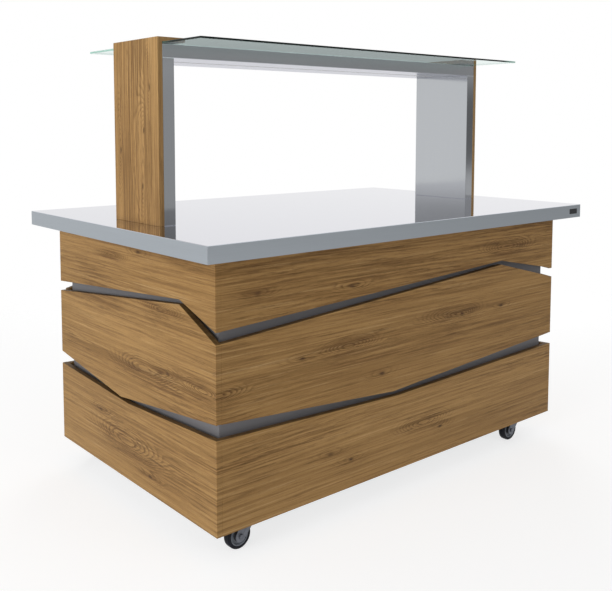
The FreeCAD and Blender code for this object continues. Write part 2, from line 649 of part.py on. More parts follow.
def bent_path(points, bend):
    """A wire through the points with each corner rounded to the bend radius."""
    points = [V(*p) for p in points]
    edges, start = [], points[0]
    for before, corner, after in zip(points, points[1:], points[2:]):
        back, on = (before - corner).normalize(), (after - corner).normalize()
        half = back.getAngle(on) / 2
        cut = bend / math.tan(half)
        enter, leave = corner + back * cut, corner + on * cut
        middle = corner + (back + on).normalize() * (bend / math.sin(half) - bend)
        edges += [Part.LineSegment(start, enter).toShape(), Part.Arc(enter, middle, leave).toShape()]
        start = leave
    return Part.Wire(edges + [Part.LineSegment(start, points[-1]).toShape()])


def bent_pipe(points):
    """A pipe of the refrigerant lines' size along the points."""
    path = bent_path(points, LINE_BEND)
    direction = V(*points[1]) - V(*points[0])
    skins = []
    for radius in (LINE_RADIUS, LINE_RADIUS - LINE_WALL):
        circle = Part.Wire(Part.makeCircle(radius, V(*points[0]), direction))
        skins.append(path.makePipeShell([circle], True, False))
    return skins[0].cut(skins[1])


def refrigerant_lines():
    """Suction line, liquid line and discharge line."""
    low_port, high_port = PORT_HEIGHTS
    x, away = COMPRESSOR_AT, COMPRESSOR_RADIUS + PORT_LENGTH
    header, far = CONDENSER_LINE_X, CONDENSER_WIDTH / 2
    z = FLOOR_TOP + LIQUID_RISE
    suction = [(x, away, high_port), (x, RISER_Y, high_port), (x, RISER_Y, COLD_BOTTOM)]
    liquid = [(header, far, z), (header, RISER_Y, z), (header, RISER_Y, COLD_BOTTOM)]
    discharge = [(x, -away, low_port), (x, -RISER_Y, low_port), (header, -RISER_Y, low_port),
                 (header, -far, low_port)]
    return group(bent_pipe(points) for points in (suction, liquid, discharge))


nodes["compressor"] = compressor()
nodes["condenser"] = condenser()
nodes["fan_rotor"] = fan_rotor()
nodes["refrigerant_lines"] = refrigerant_lines()


# ---- Switch in the back groove, and the cable gland in the cabinet's floor ----

def switch_frame():
    """A flanged housing through the back sheet, with two holes for the rocker's pins."""
    x, z = switch_place()
    face = block(about(x, SWITCH_FACE[0]), (BODY_Y, BODY_Y + SWITCH_FACE_DEPTH), about(z, SWITCH_FACE[1]))
    inner = BODY_Y - SWITCH_BODY_DEPTH
    housing = block(about(x, SWITCH_BODY[0]), (inner, BODY_Y), about(z, SWITCH_BODY[1]))
    pocket = block(about(x, 2 * (ROCKER_RADIUS + ROCKER_GAP)),
                   (inner + SWITCH_WALL, BODY_Y + SWITCH_FACE_DEPTH),
                   about(z, ROCKER_HEIGHT + 2 * ROCKER_GAP))
    pivot_y, reach = BODY_Y - ROCKER_PIVOT_DEPTH, ROCKER_HEIGHT / 2 + ROCKER_PIN_LENGTH + ROCKER_GAP
    pins = rod(ROCKER_PIN_RADIUS + RUNNING_CLEARANCE, (x, pivot_y, z - reach), (x, pivot_y, z + reach))
    return face.fuse(housing).cut([pocket, pins]).removeSplitter()


def rocker_switch():
    """A rocker on upright pins, tilted to one side; its round sides keep their gap as it tilts."""
    x, z = switch_place()
    pivot, low = V(x, BODY_Y - ROCKER_PIVOT_DEPTH, z), z - ROCKER_HEIGHT / 2
    up = V(0, 0, ROCKER_HEIGHT)
    drum = rod(ROCKER_RADIUS, (x, pivot.y, low), (x, pivot.y, low + ROCKER_HEIGHT))
    wide, back, crest = ROCKER_RADIUS, -ROCKER_BACK, ROCKER_CREST
    outline = [(-wide, back), (wide, back), (wide, crest), (0, ROCKER_DIP), (-wide, crest)]
    corners = [V(x + u, pivot.y + v, low) for u, v in outline]
    rocker = drum.common(Part.Face(Part.makePolygon(corners + corners[:1])).extrude(up))
    rocker.rotate(pivot, up, ROCKER_TILT)
    reach = ROCKER_HEIGHT / 2 + ROCKER_PIN_LENGTH
    pins = rod(ROCKER_PIN_RADIUS, (x, pivot.y, z - reach), (x, pivot.y, z + reach))
    return rocker.fuse(pins).removeSplitter()


def cable_gland():
    """A gland screwed through the base plate with a nut on top, bored for a mains cable."""
    x, y = GLAND_AT
    low, high = BASE_TOP - GLAND_CAP[1], FLOOR_TOP + GLAND_THREAD_END
    parts = [hexagon(GLAND_CAP[0], (x, y, low), (x, y, BASE_TOP)),
             hexagon(GLAND_NUT[0], (x, y, FLOOR_TOP), (x, y, FLOOR_TOP + GLAND_NUT[1]))]
    stem = rod(GLAND_THREAD, (x, y, BASE_TOP), (x, y, high))
    return stem.fuse(parts).cut(rod(GLAND_BORE, (x, y, low), (x, y, high))).removeSplitter()


nodes["switch_frame"] = switch_frame()
nodes["rocker_switch"] = rocker_switch()
nodes["cable_gland"] = cable_gland()


# ---- Casters: each is made about its own swivel axis, with the wheel trailing towards -X ----

NECK_TOP = CASTER_HEIGHT - HEAD_FLANGE
CROWN_TOP = NECK_TOP - SWIVEL_GAP
CROWN_BOTTOM = CROWN_TOP - CROWN_HEIGHT
NECK_BOTTOM = CROWN_BOTTOM - SWIVEL_GAP
HEAD_BOTTOM = NECK_BOTTOM - NECK_FLANGE
RIM_RADIUS = WHEEL_RADIUS - TYRE_DEPTH


def beyond_tyre(out, angle):
    """The (x, z) of a point outside the tyre, on the side away from the swivel axis."""
    reach, angle = WHEEL_RADIUS + out, math.radians(angle)
    return (-WHEEL_TRAIL - reach * math.cos(angle), WHEEL_RADIUS + reach * math.sin(angle))


PEDAL_PIVOT = beyond_tyre(PEDAL_PIVOT_OUT, PEDAL_PIVOT_ANGLE)
PEDAL_SHOE = beyond_tyre(PEDAL_SHOE_OUT, PEDAL_SHOE_ANGLE)


def caster_head():
    """The fixed part: a flange under the rail, a neck for the fork's crown, and a lower flange."""
    parts = [rod(NECK_RADIUS, (0, 0, NECK_BOTTOM), (0, 0, NECK_TOP)),
             rod(NECK_FLANGE_RADIUS, (0, 0, HEAD_BOTTOM), (0, 0, NECK_BOTTOM))]
    head = rod(HEAD_RADIUS, (0, 0, NECK_TOP), (0, 0, CASTER_HEIGHT)).fuse(parts)
    hole = CASTER_BOLT_RADIUS + BOLT_CLEARANCE
    return head.cut(rod(hole, (0, 0, HEAD_BOTTOM), (0, 0, CASTER_HEIGHT))).removeSplitter()


def caster_bolt():
    """A bolt from below through the head and the rail, with its nut on top."""
    radius = CASTER_BOLT_RADIUS
    shank = rod(radius, (0, 0, HEAD_BOTTOM), (0, 0, BASE_TOP + 2.2 * radius))
    head = hexagon(3.1 * radius, (0, 0, HEAD_BOTTOM - 1.25 * radius), (0, 0, HEAD_BOTTOM))
    nut = hexagon(3.1 * radius, (0, 0, BASE_TOP), (0, 0, BASE_TOP + 1.7 * radius))
    return shank.fuse([head, nut]).removeSplitter()


def in_plane(point, y=0.0):
    """A vector from an (x, z) pair."""
    return V(point[0], y, point[1])


def touch_point(centre, radius, point, turn):
    """Where a line from a point touches a circle; turn chooses the side."""
    to_point = point - centre
    angle = math.atan2(to_point.z, to_point.x) + turn * math.acos(radius / to_point.Length)
    return centre + V(math.cos(angle), 0, math.sin(angle)) * radius


def plate(edges, y, thickness):
    """A flat plate from the edges of its outline, which lie in the plane Y = 0."""
    outline = Part.Wire([edge.toShape() for edge in edges])
    return Part.Face(outline).extrude(V(0, thickness, 0)).translated(V(0, y, 0))


def fork_leg(y):
    """One leg: wide at the crown, round about the axle."""
    axle, radius = in_plane((-WHEEL_TRAIL, WHEEL_RADIUS)), FORK_END_RADIUS
    back = in_plane((-CROWN_RADIUS, CROWN_TOP))
    bend = in_plane((FORK_BEND[0], 2 * WHEEL_RADIUS + FORK_BEND[1]))
    top = in_plane((CROWN_RADIUS * 0.75, CROWN_TOP))
    front = in_plane((CROWN_RADIUS * 0.75, CROWN_BOTTOM - FORK_SHEET))
    enter, leave = touch_point(axle, radius, front, -1), touch_point(axle, radius, bend, 1)
    bottom = axle + in_plane((math.cos(-2.0), math.sin(-2.0))) * radius
    corners = [leave, bend, back, top, front, enter]
    edges = [Part.LineSegment(a, b) for a, b in zip(corners, corners[1:])]
    return plate(edges + [Part.Arc(enter, bottom, leave)], y, FORK_SHEET)


def pedal_ear(y):
    """The round-ended strap that reaches from a leg to the pedal's pin."""
    start, end = in_plane((-WHEEL_TRAIL, WHEEL_RADIUS + FORK_END_RADIUS)), in_plane(PEDAL_PIVOT)
    along = (end - start).normalize() * PEDAL_EAR_RADIUS
    side = V(-along.z, 0, along.x)
    edges = [Part.LineSegment(start + side, end + side),
             Part.Arc(end + side, end + along, end - side),
             Part.LineSegment(end - side, start - side),
             Part.Arc(start - side, start - along, start + side)]
    return plate(edges, y, FORK_SHEET)


def caster_fork(braked):
    """A round crown that turns on the head's neck, with two legs down to the axle."""
    crown = rod(CROWN_RADIUS, (0, 0, CROWN_BOTTOM), (0, 0, CROWN_TOP))
    inside, reach = FORK_INSIDE / 2, FORK_INSIDE / 2 + FORK_SHEET
    parts = [fork_leg(inside), fork_leg(-reach)]
    radius = AXLE_BOLT_RADIUS + RUNNING_CLEARANCE
    bores = [rod(NECK_RADIUS + RUNNING_CLEARANCE, (0, 0, CROWN_BOTTOM), (0, 0, CROWN_TOP)),
             rod(radius, (-WHEEL_TRAIL, -reach, WHEEL_RADIUS), (-WHEEL_TRAIL, reach, WHEEL_RADIUS))]
    if braked:
        parts += [pedal_ear(inside), pedal_ear(-reach)]
        radius = PEDAL_PIN_RADIUS + RUNNING_CLEARANCE
        bores.append(rod(radius, in_plane(PEDAL_PIVOT, -reach), in_plane(PEDAL_PIVOT, reach)))
    return crown.fuse(parts).cut(bores).removeSplitter()


def brake_pedal():
    """A pedal with its pin; pressing the tread brings the shoe against the tyre."""
    (x, z), half = PEDAL_PIVOT, FORK_INSIDE / 2 - SWIVEL_GAP
    pin_end = FORK_INSIDE / 2 + FORK_SHEET + 1.0
    hub = rod(PEDAL_EAR_RADIUS - 1.0, in_plane(PEDAL_PIVOT, -half), in_plane(PEDAL_PIVOT, half))
    pin = rod(PEDAL_PIN_RADIUS, in_plane(PEDAL_PIVOT, -pin_end), in_plane(PEDAL_PIVOT, pin_end))
    level = about(z, PEDAL_THICKNESS)
    arm = block((x - PEDAL_TREAD[1], x), (-half, half), level)
    tread = block((x - PEDAL_TREAD[0], x - PEDAL_TREAD[1]), about(0, PEDAL_TREAD_WIDTH), level)
    shoe_half = WHEEL_WIDTH / 2 - TYRE_SHOULDER
    shoe = rod(PEDAL_SHOE_RADIUS, in_plane(PEDAL_SHOE, -shoe_half), in_plane(PEDAL_SHOE, shoe_half))
    web_x = about(PEDAL_SHOE[0], 2 * PEDAL_SHOE_RADIUS)
    web = block(web_x, (-shoe_half, shoe_half), (PEDAL_SHOE[1], z))
    return hub.fuse([pin, arm, tread, shoe, web]).removeSplitter()


def wheel_axis(y):
    """A point on the wheel's axis."""
    return (-WHEEL_TRAIL, y, WHEEL_RADIUS)


def caster_axle():
    """A spacer between the legs, with a bolt through it, its head and its nut."""
    radius, inside, outside = AXLE_BOLT_RADIUS, FORK_INSIDE / 2, FORK_INSIDE / 2 + FORK_SHEET
    flats, head, nut = 3.25 * radius, 1.3 * radius, 1.6 * radius
    spacer = rod(AXLE_RADIUS, wheel_axis(-inside), wheel_axis(inside))
    parts = [rod(radius, wheel_axis(-outside), wheel_axis(outside + 2 * radius)),
             hexagon(flats, wheel_axis(-outside - head), wheel_axis(-outside)),
             hexagon(flats, wheel_axis(outside), wheel_axis(outside + nut))]
    return spacer.fuse(parts).removeSplitter()


def caster_core():
    """The wheel's centre: hub, web and rim, bored to run on the axle's spacer."""
    hub, web, rim = FORK_INSIDE / 2 - SWIVEL_GAP, CORE_WEB / 2, WHEEL_WIDTH / 2 - CORE_INSET
    sides = wheel_axis(-rim), wheel_axis(rim)
    ring = rod(RIM_RADIUS, *sides).cut(rod(RIM_RADIUS - CORE_RIM, *sides))
    web = rod(RIM_RADIUS - CORE_RIM / 2, wheel_axis(-web), wheel_axis(web))
    core = ring.fuse([web, rod(HUB_RADIUS, wheel_axis(-hub), wheel_axis(hub))])
    return core.cut(rod(AXLE_RADIUS + RUNNING_CLEARANCE, wheel_axis(-hub), wheel_axis(hub))).removeSplitter()


def caster_tyre():
    """A rubber ring with rounded shoulders."""
    ends = wheel_axis(-WHEEL_WIDTH / 2), wheel_axis(WHEEL_WIDTH / 2)
    tyre = rod(WHEEL_RADIUS, *ends)
    rims = [e for e in tyre.Edges if e.BoundBox.YLength < WHEEL_WIDTH / 2]
    return tyre.makeFillet(TYRE_SHOULDER, rims).cut(rod(RIM_RADIUS, *ends))


CASTER_PLACES = {
    "front_left": (-CASTER_X, -CASTER_Y),
    "front_right": (CASTER_X, -CASTER_Y),
    "back_left": (-CASTER_X, CASTER_Y),
    "back_right": (CASTER_X, CASTER_Y),
}
CASTER_PIECES = {"axle": caster_axle(), "core": caster_core(), "tyre": caster_tyre()}

for place, (x, y) in CASTER_PLACES.items():
    braked = place.startswith("back")
    pieces = {"fork": caster_fork(braked), **CASTER_PIECES}
    for piece, shape in pieces.items():
        nodes[f"caster_{piece}_{place}"] = shape.translated(V(x, y, 0))
    if braked:
        nodes[f"brake_pedal_{place}"] = brake_pedal().translated(V(x, y, 0))
nodes["caster_heads"] = group(caster_head().translated(V(x, y, 0)) for x, y in CASTER_PLACES.values())
nodes["caster_bolts"] = group(caster_bolt().translated(V(x, y, 0)) for x, y in CASTER_PLACES.values())


# ---- Files ----

os.makedirs("parts", exist_ok=True)
for name, shape in nodes.items():
    shape.exportStep(f"parts/{name}.step")
print(len(nodes), "nodes,", sum(len(shape.Solids) for shape in nodes.values()), "solids")
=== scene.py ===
import math

import bmesh
import bpy
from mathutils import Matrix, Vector


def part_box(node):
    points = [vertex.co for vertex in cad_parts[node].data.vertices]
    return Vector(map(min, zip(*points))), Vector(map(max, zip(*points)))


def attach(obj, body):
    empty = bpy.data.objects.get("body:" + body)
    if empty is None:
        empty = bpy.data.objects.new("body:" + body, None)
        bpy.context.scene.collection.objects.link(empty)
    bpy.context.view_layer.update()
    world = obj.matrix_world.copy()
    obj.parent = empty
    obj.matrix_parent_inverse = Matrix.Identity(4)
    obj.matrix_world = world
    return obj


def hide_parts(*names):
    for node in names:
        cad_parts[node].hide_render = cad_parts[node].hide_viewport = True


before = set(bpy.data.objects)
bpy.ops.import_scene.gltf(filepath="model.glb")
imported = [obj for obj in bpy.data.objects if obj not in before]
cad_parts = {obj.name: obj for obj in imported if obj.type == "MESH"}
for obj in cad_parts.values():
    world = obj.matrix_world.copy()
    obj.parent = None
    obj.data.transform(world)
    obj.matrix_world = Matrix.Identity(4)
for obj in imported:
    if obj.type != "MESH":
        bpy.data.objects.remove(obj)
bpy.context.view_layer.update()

# ---- Casters ----
# Four swivel casters: a black rubber tyre on a moulded grey wheel, in a pressed steel fork under a
# zinc-plated head. Zinc-plated bolts hold the heads to the base rails, and the two at the back have a
# black foot brake.


class Wire:
    """A node's output socket; arithmetic on it adds Math nodes."""

    def __init__(self, tree, node, output=0):
        self.tree, self.node = tree, node
        self.output = node.outputs[output] if node.outputs else None

    def out(self, output):
        """Another output of the same node."""
        return Wire(self.tree, self.node, output)

    def math(self, operation, *values):
        return self.tree.node("Math", {"operation": operation}, dict(enumerate(values)))

    def __add__(self, other):
        return self.math("ADD", self, other)

    def __radd__(self, other):
        return self.math("ADD", other, self)

    def __sub__(self, other):
        return self.math("SUBTRACT", self, other)

    def __rsub__(self, other):
        return self.math("SUBTRACT", other, self)

    def __mul__(self, other):
        return self.math("MULTIPLY", self, other)

    def __rmul__(self, other):
        return self.math("MULTIPLY", other, self)

    def __truediv__(self, other):
        return self.math("DIVIDE", self, other)

    def __rtruediv__(self, other):
        return self.math("DIVIDE", other, self)


class Tree:
    """A node tree that grows one node at a time."""

    def __init__(self, tree):
        self.tree = tree
        tree.nodes.clear()

    def node(self, kind, settings=None, sockets=None, output=0):
        """Adds a node: its settings first, then what goes into its sockets."""
        node = self.tree.nodes.new("ShaderNode" + kind)
        for key, value in (settings or {}).items():
            if key == "stops":
                self.set_stops(node.color_ramp, value)
            else:
                setattr(node, key, value)
        for key, value in (sockets or {}).items():
            if isinstance(value, Wire):
                self.tree.links.new(value.output, node.inputs[key])
            else:
                node.inputs[key].default_value = value
        return Wire(self, node, output)

    def set_stops(self, ramp, stops):
        while len(ramp.elements) < len(stops):
            ramp.elements.new(1.0)
        for element, (position, colour) in zip(ramp.elements, stops):
            element.position, element.color = position, (*colour, 1)

    def noise(self, place, stretch, detail=2.0, roughness=0.5):
        """Noise between about 0 and 1, with so many waves a metre along X, Y and Z."""
        vector = self.node("VectorMath", {"operation": "MULTIPLY"}, {0: place, 1: stretch})
        return self.node("TexNoise", {}, {"Vector": vector, "Scale": 1.0, "Detail": detail,
                                          "Roughness": roughness})

    def blend(self, factor, first, second):
        """A colour between two colours."""
        return self.node("Mix", {"data_type": "RGBA"}, {0: factor, 6: first, 7: second}, 2)

    def smooth(self, value, low, high):
        """0 below low, 1 above high, and a soft step between."""
        return self.node("MapRange", {"interpolation_type": "SMOOTHSTEP"},
                         {"Value": value, "From Min": low, "From Max": high})


def srgb(text):
    """A linear colour from its usual six-digit name."""
    parts = [int(text[i:i + 2], 16) / 255 for i in (0, 2, 4)]
    return [c / 12.92 if c <= 0.04045 else ((c + 0.055) / 1.055) ** 2.4 for c in parts] + [1.0]


def finish(name, build):
    """A material whose surface is what build returns for its tree."""
    material = bpy.data.materials.new(name)
    material.use_nodes = True
    tree = Tree(material.node_tree)
    shader = build(tree)
    tree.node("OutputMaterial", {}, {"Surface": shader})
    return material


def coat(material, *names):
    """Puts a material on CAD nodes."""
    for name in names:
        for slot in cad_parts[name].material_slots:
            slot.material = material


def nodes_like(start):
    """The names of the CAD nodes that begin alike."""
    return sorted(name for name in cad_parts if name.startswith(start))


def rubber(tree):
    place = tree.node("TexCoord", output="Object")
    dust = tree.noise(place, (60, 60, 60), 4)
    grain = tree.noise(place, (900, 900, 900), 2)
    colour = tree.blend(tree.smooth(dust, 0.35, 0.75), srgb("06080f"), srgb("12151e"))
    bump = tree.node("Bump", {}, {"Strength": 0.25, "Distance": 0.0004, "Height": grain})
    return tree.node("BsdfPrincipled", {}, {"Base Color": colour, "Roughness": 0.55 + 0.2 * dust,
                                            "Specular IOR Level": 0.25, "Normal": bump})


def wheel_plastic(tree):
    place = tree.node("TexCoord", output="Object")
    cloud = tree.noise(place, (45, 45, 45), 3)
    grain = tree.noise(place, (1300, 1300, 1300), 2)
    colour = tree.blend(cloud, srgb("62676f"), srgb("7c828a"))
    bump = tree.node("Bump", {}, {"Strength": 0.2, "Distance": 0.0002, "Height": grain})
    return tree.node("BsdfPrincipled", {}, {"Base Color": colour, "Roughness": 0.35 + 0.2 * cloud, "Normal": bump})


def zinc_plate(tree):
    place = tree.node("TexCoord", output="Object")
    cloud = tree.noise(place, (80, 80, 80), 4, 0.6)
    colour = tree.blend(tree.smooth(cloud, 0.3, 0.7), srgb("a9adb2"), srgb("cdd1d6"))
    return tree.node("BsdfPrincipled", {}, {"Base Color": colour, "Metallic": 1.0, "Roughness": 0.22 + 0.2 * cloud})


def black_paint(tree):
    place = tree.node("TexCoord", output="Object")
    cloud = tree.noise(place, (40, 40, 40), 3)
    peel = tree.noise(place, (500, 500, 500), 1)
    colour = tree.blend(cloud, srgb("16171a"), srgb("24262a"))
    bump = tree.node("Bump", {}, {"Strength": 0.2, "Distance": 0.0003, "Height": peel})
    return tree.node("BsdfPrincipled", {}, {"Base Color": colour, "Roughness": 0.3 + 0.15 * cloud, "Normal": bump})


def fork_steel(tree):
    place = tree.node("TexCoord", output="Object")
    cloud = tree.noise(place, (70, 70, 70), 4, 0.6)
    wear = tree.noise(place, (300, 300, 300), 3)
    colour = tree.blend(tree.smooth(cloud, 0.3, 0.7), srgb("62656c"), srgb("7b7e86"))
    bump = tree.node("Bump", {}, {"Strength": 0.15, "Distance": 0.0002, "Height": wear})
    return tree.node("BsdfPrincipled", {}, {"Base Color": colour, "Metallic": 0.6, "Roughness": 0.4 + 0.2 * cloud,
                                            "Normal": bump})


def new_piece(name, mesh, materials):
    """An object for a mesh made here, in the scene."""
    for material in materials:
        mesh.materials.append(material)
    piece = bpy.data.objects.new(name, mesh)
    bpy.context.scene.collection.objects.link(piece)
    return piece


def turned(name, centre, rows):
    """A closed ring turned about a line along Y, from (radius, y, material) rows round its section."""
    shape = bmesh.new()
    rings = []
    for radius, y, _ in rows:
        angles = [2 * math.pi * i / WHEEL_FACETS for i in range(WHEEL_FACETS)]
        rings.append([shape.verts.new(centre + Vector((radius * math.cos(a), y, radius * math.sin(a))))
                      for a in angles])
    for row, (first, second) in enumerate(zip(rings, rings[1:] + rings[:1])):
        for i in range(WHEEL_FACETS):
            j = (i + 1) % WHEEL_FACETS
            face = shape.faces.new((first[i], first[j], second[j], second[i]))
            face.smooth, face.material_index = True, rows[row][2]
    bmesh.ops.recalc_face_normals(shape, faces=shape.faces)
    mesh = bpy.data.meshes.new(name)
    shape.to_mesh(mesh)
    shape.free()
    mesh.set_sharp_from_angle(angle=math.radians(CRISP_ANGLE))
    return mesh


def mirrored(half):
    """A section's rows from one side, closed by the same rows on the other side."""
    back = [(radius, -y) for radius, y in reversed(half)]
    return half + back


def tyre_section(radius, half):
    """Rows of the tyre: flat sides with a raised bead, round shoulders, and two grooves in the tread."""
    inner, bead, shoulder, groove = radius - TYRE_THICKNESS, 0.0006, 0.0042, 0.0008
    rows = [(inner, half - bead), (inner + 0.0012, half), (inner + 0.0030, half), (inner + 0.0036, half - bead),
            (radius - shoulder, half - bead)]
    middle = (radius - shoulder, half - bead - shoulder)
    for step in range(1, SHOULDER_STEPS + 1):
        turn = math.radians(90 * step / SHOULDER_STEPS)
        rows.append((middle[0] + shoulder * math.sin(turn), middle[1] + shoulder * math.cos(turn)))
    rows += [(radius, 0.0034), (radius - groove, 0.0030), (radius - groove, 0.0022), (radius, 0.0018)]
    return [(r, y, RUBBER) for r, y in mirrored(rows)]


def core_section(radius, half, hub_half):
    """Rows of the wheel's core: a bored hub, a dark thread guard, a dished web and a rounded rim."""
    rim, bore, hub, guard, web = radius - TYRE_THICKNESS, 0.0061, 0.0098, 0.0178, 0.0062
    rows = [(bore, hub_half, GREY), (hub - 0.001, hub_half, GREY), (hub, hub_half - 0.001, GREY),
            (hub, half - 0.0015, BLACK), (guard - 0.001, half - 0.0022, BLACK), (guard, half - 0.0032, BLACK),
            (guard, web + 0.0006, GREY), (guard + 0.003, web, GREY), (rim - 0.0052, web, GREY),
            (rim - 0.0040, web + 0.0012, GREY), (rim - 0.0034, half - 0.0018, GREY),
            (rim - 0.0024, half - 0.0010, GREY), (rim, half - 0.0010, GREY)]
    back = [(r, -y, rows[i - 1][2]) for i, (r, y, _) in reversed(list(enumerate(rows))) if i > 0]
    return rows + back + [(bore, -hub_half, GREY)]


WHEEL_FACETS, SHOULDER_STEPS = 96, 5
CRISP_ANGLE = 38
TYRE_THICKNESS = 0.010
# The places of the materials on the tyre, and on the wheel's core.
RUBBER = 0
GREY, BLACK = 0, 1
zinc = finish("zinc_plate", zinc_plate)
black = finish("black_paint", black_paint)
tyre_rubber, grey_plastic = finish("tyre_rubber", rubber), finish("wheel_plastic", wheel_plastic)
fork_finish = finish("fork_steel", fork_steel)
coat(zinc, "caster_heads", "caster_bolts")
coat(fork_finish, *nodes_like("caster_fork"), *nodes_like("caster_axle"))
coat(black, *nodes_like("brake_pedal"))
for place in ("front_left", "front_right", "back_left", "back_right"):
    low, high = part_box(f"caster_tyre_{place}")
    core_low, core_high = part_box(f"caster_core_{place}")
    centre = (low + high) / 2
    radius, half = (high.z - low.z) / 2, (high.y - low.y) / 2
    hub_half = (core_high.y - core_low.y) / 2
    tyre_mesh = turned(f"tyre_{place}", centre, tyre_section(radius, half))
    core_mesh = turned(f"wheel_core_{place}", centre, core_section(radius, half, hub_half))
    tyre = new_piece(f"tyre_{place}", tyre_mesh, [tyre_rubber])
    core = new_piece(f"wheel_core_{place}", core_mesh, [grey_plastic, black])
    for piece, node, slot in ((tyre, "tyre", "tyre"), (core, "core", "wheel_grey")):
        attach(piece, f"wheel_{place}")
        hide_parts(f"caster_{node}_{place}")

# ---- Welded frame ----
# Square steel tubes welded into a base, four uprights and a top ring, with a slotted steel floor.
# The mill finish is dull and slightly cloudy.


def mill_steel(tree):
    place = tree.node("TexCoord", output="Object")
    cloud = tree.noise(place, (9, 9, 9), 5, 0.6)
    rolled = tree.noise(place, (6, 6, 240), 3)
    colour = tree.blend(tree.smooth(cloud, 0.3, 0.7), srgb("85898d"), srgb("a4a8ab"))
    bump = tree.node("Bump", {}, {"Strength": 0.15, "Distance": 0.0003, "Height": rolled})
    return tree.node("BsdfPrincipled", {}, {"Base Color": colour, "Metallic": 1.0, "Roughness": 0.38 + 0.2 * cloud,
                                            "Normal": bump})


coat(finish("mill_steel", mill_steel), "base_rails", "uprights", "top_rails", "base_plate")

# ---- Cooling unit ----
# A black painted compressor, an aluminium condenser with its fan, and bare copper lines up to the
# cold plate; all of it stands on the cabinet's floor.


def aluminium(tree):
    place = tree.node("TexCoord", output="Object")
    fins = tree.noise(place, (8, 420, 8), 1)
    cloud = tree.noise(place, (20, 20, 20), 3)
    colour = tree.blend(tree.smooth(fins, 0.4, 0.6), srgb("9ea2a5"), srgb("cfd2d4"))
    bump = tree.node("Bump", {}, {"Strength": 0.4, "Distance": 0.0006, "Height": fins})
    return tree.node("BsdfPrincipled", {}, {"Base Color": colour, "Metallic": 1.0, "Roughness": 0.35 + 0.2 * cloud,
                                            "Normal": bump})


def copper(tree):
    place = tree.node("TexCoord", output="Object")
    cloud = tree.noise(place, (30, 30, 30), 4, 0.6)
    colour = tree.blend(tree.smooth(cloud, 0.35, 0.7), srgb("b87850"), srgb("8d5638"))
    return tree.node("BsdfPrincipled", {}, {"Base Color": colour, "Metallic": 1.0, "Roughness": 0.25 + 0.25 * cloud})


def moulded_black(tree):
    place = tree.node("TexCoord", output="Object")
    grain = tree.noise(place, (1200, 1200, 1200), 2)
    cloud = tree.noise(place, (50, 50, 50), 2)
    colour = tree.blend(cloud, srgb("1c1d1f"), srgb("2a2b2e"))
    bump = tree.node("Bump", {}, {"Strength": 0.3, "Distance": 0.0002, "Height": grain})
    return tree.node("BsdfPrincipled", {}, {"Base Color": colour, "Roughness": 0.42 + 0.15 * cloud, "Normal": bump})


plastic = finish("moulded_black", moulded_black)
cold_metal = finish("aluminium", aluminium)
coat(black, "compressor")
coat(cold_metal, "condenser", "cold_plate")
coat(finish("copper", copper), "refrigerant_lines")
coat(plastic, "fan_rotor", "cable_gland", "switch_frame", "rocker_switch")

# ---- Steel body ----
# Four satin steel sheets on the outside of the frame. They stand back behind the boards and show only
# in the grooves between them.


def satin_steel(tree):
    place = tree.node("TexCoord", output="Object")
    brushed = tree.noise(place, (3, 3, 900), 3, 0.6)
    cloud = tree.noise(place, (5, 5, 5), 3)
    colour = tree.blend(brushed, srgb("7c7b7e"), srgb("8a898c"))
    bump = tree.node("Bump", {}, {"Strength": 0.12, "Distance": 0.0002, "Height": brushed})
    return tree.node("BsdfPrincipled", {}, {"Base Color": colour, "Metallic": 0.3, "Roughness": 0.5 + 0.12 * cloud,
                                            "Normal": bump})


coat(finish("satin_steel", satin_steel), "body_sheets_long", "body_sheets_end")
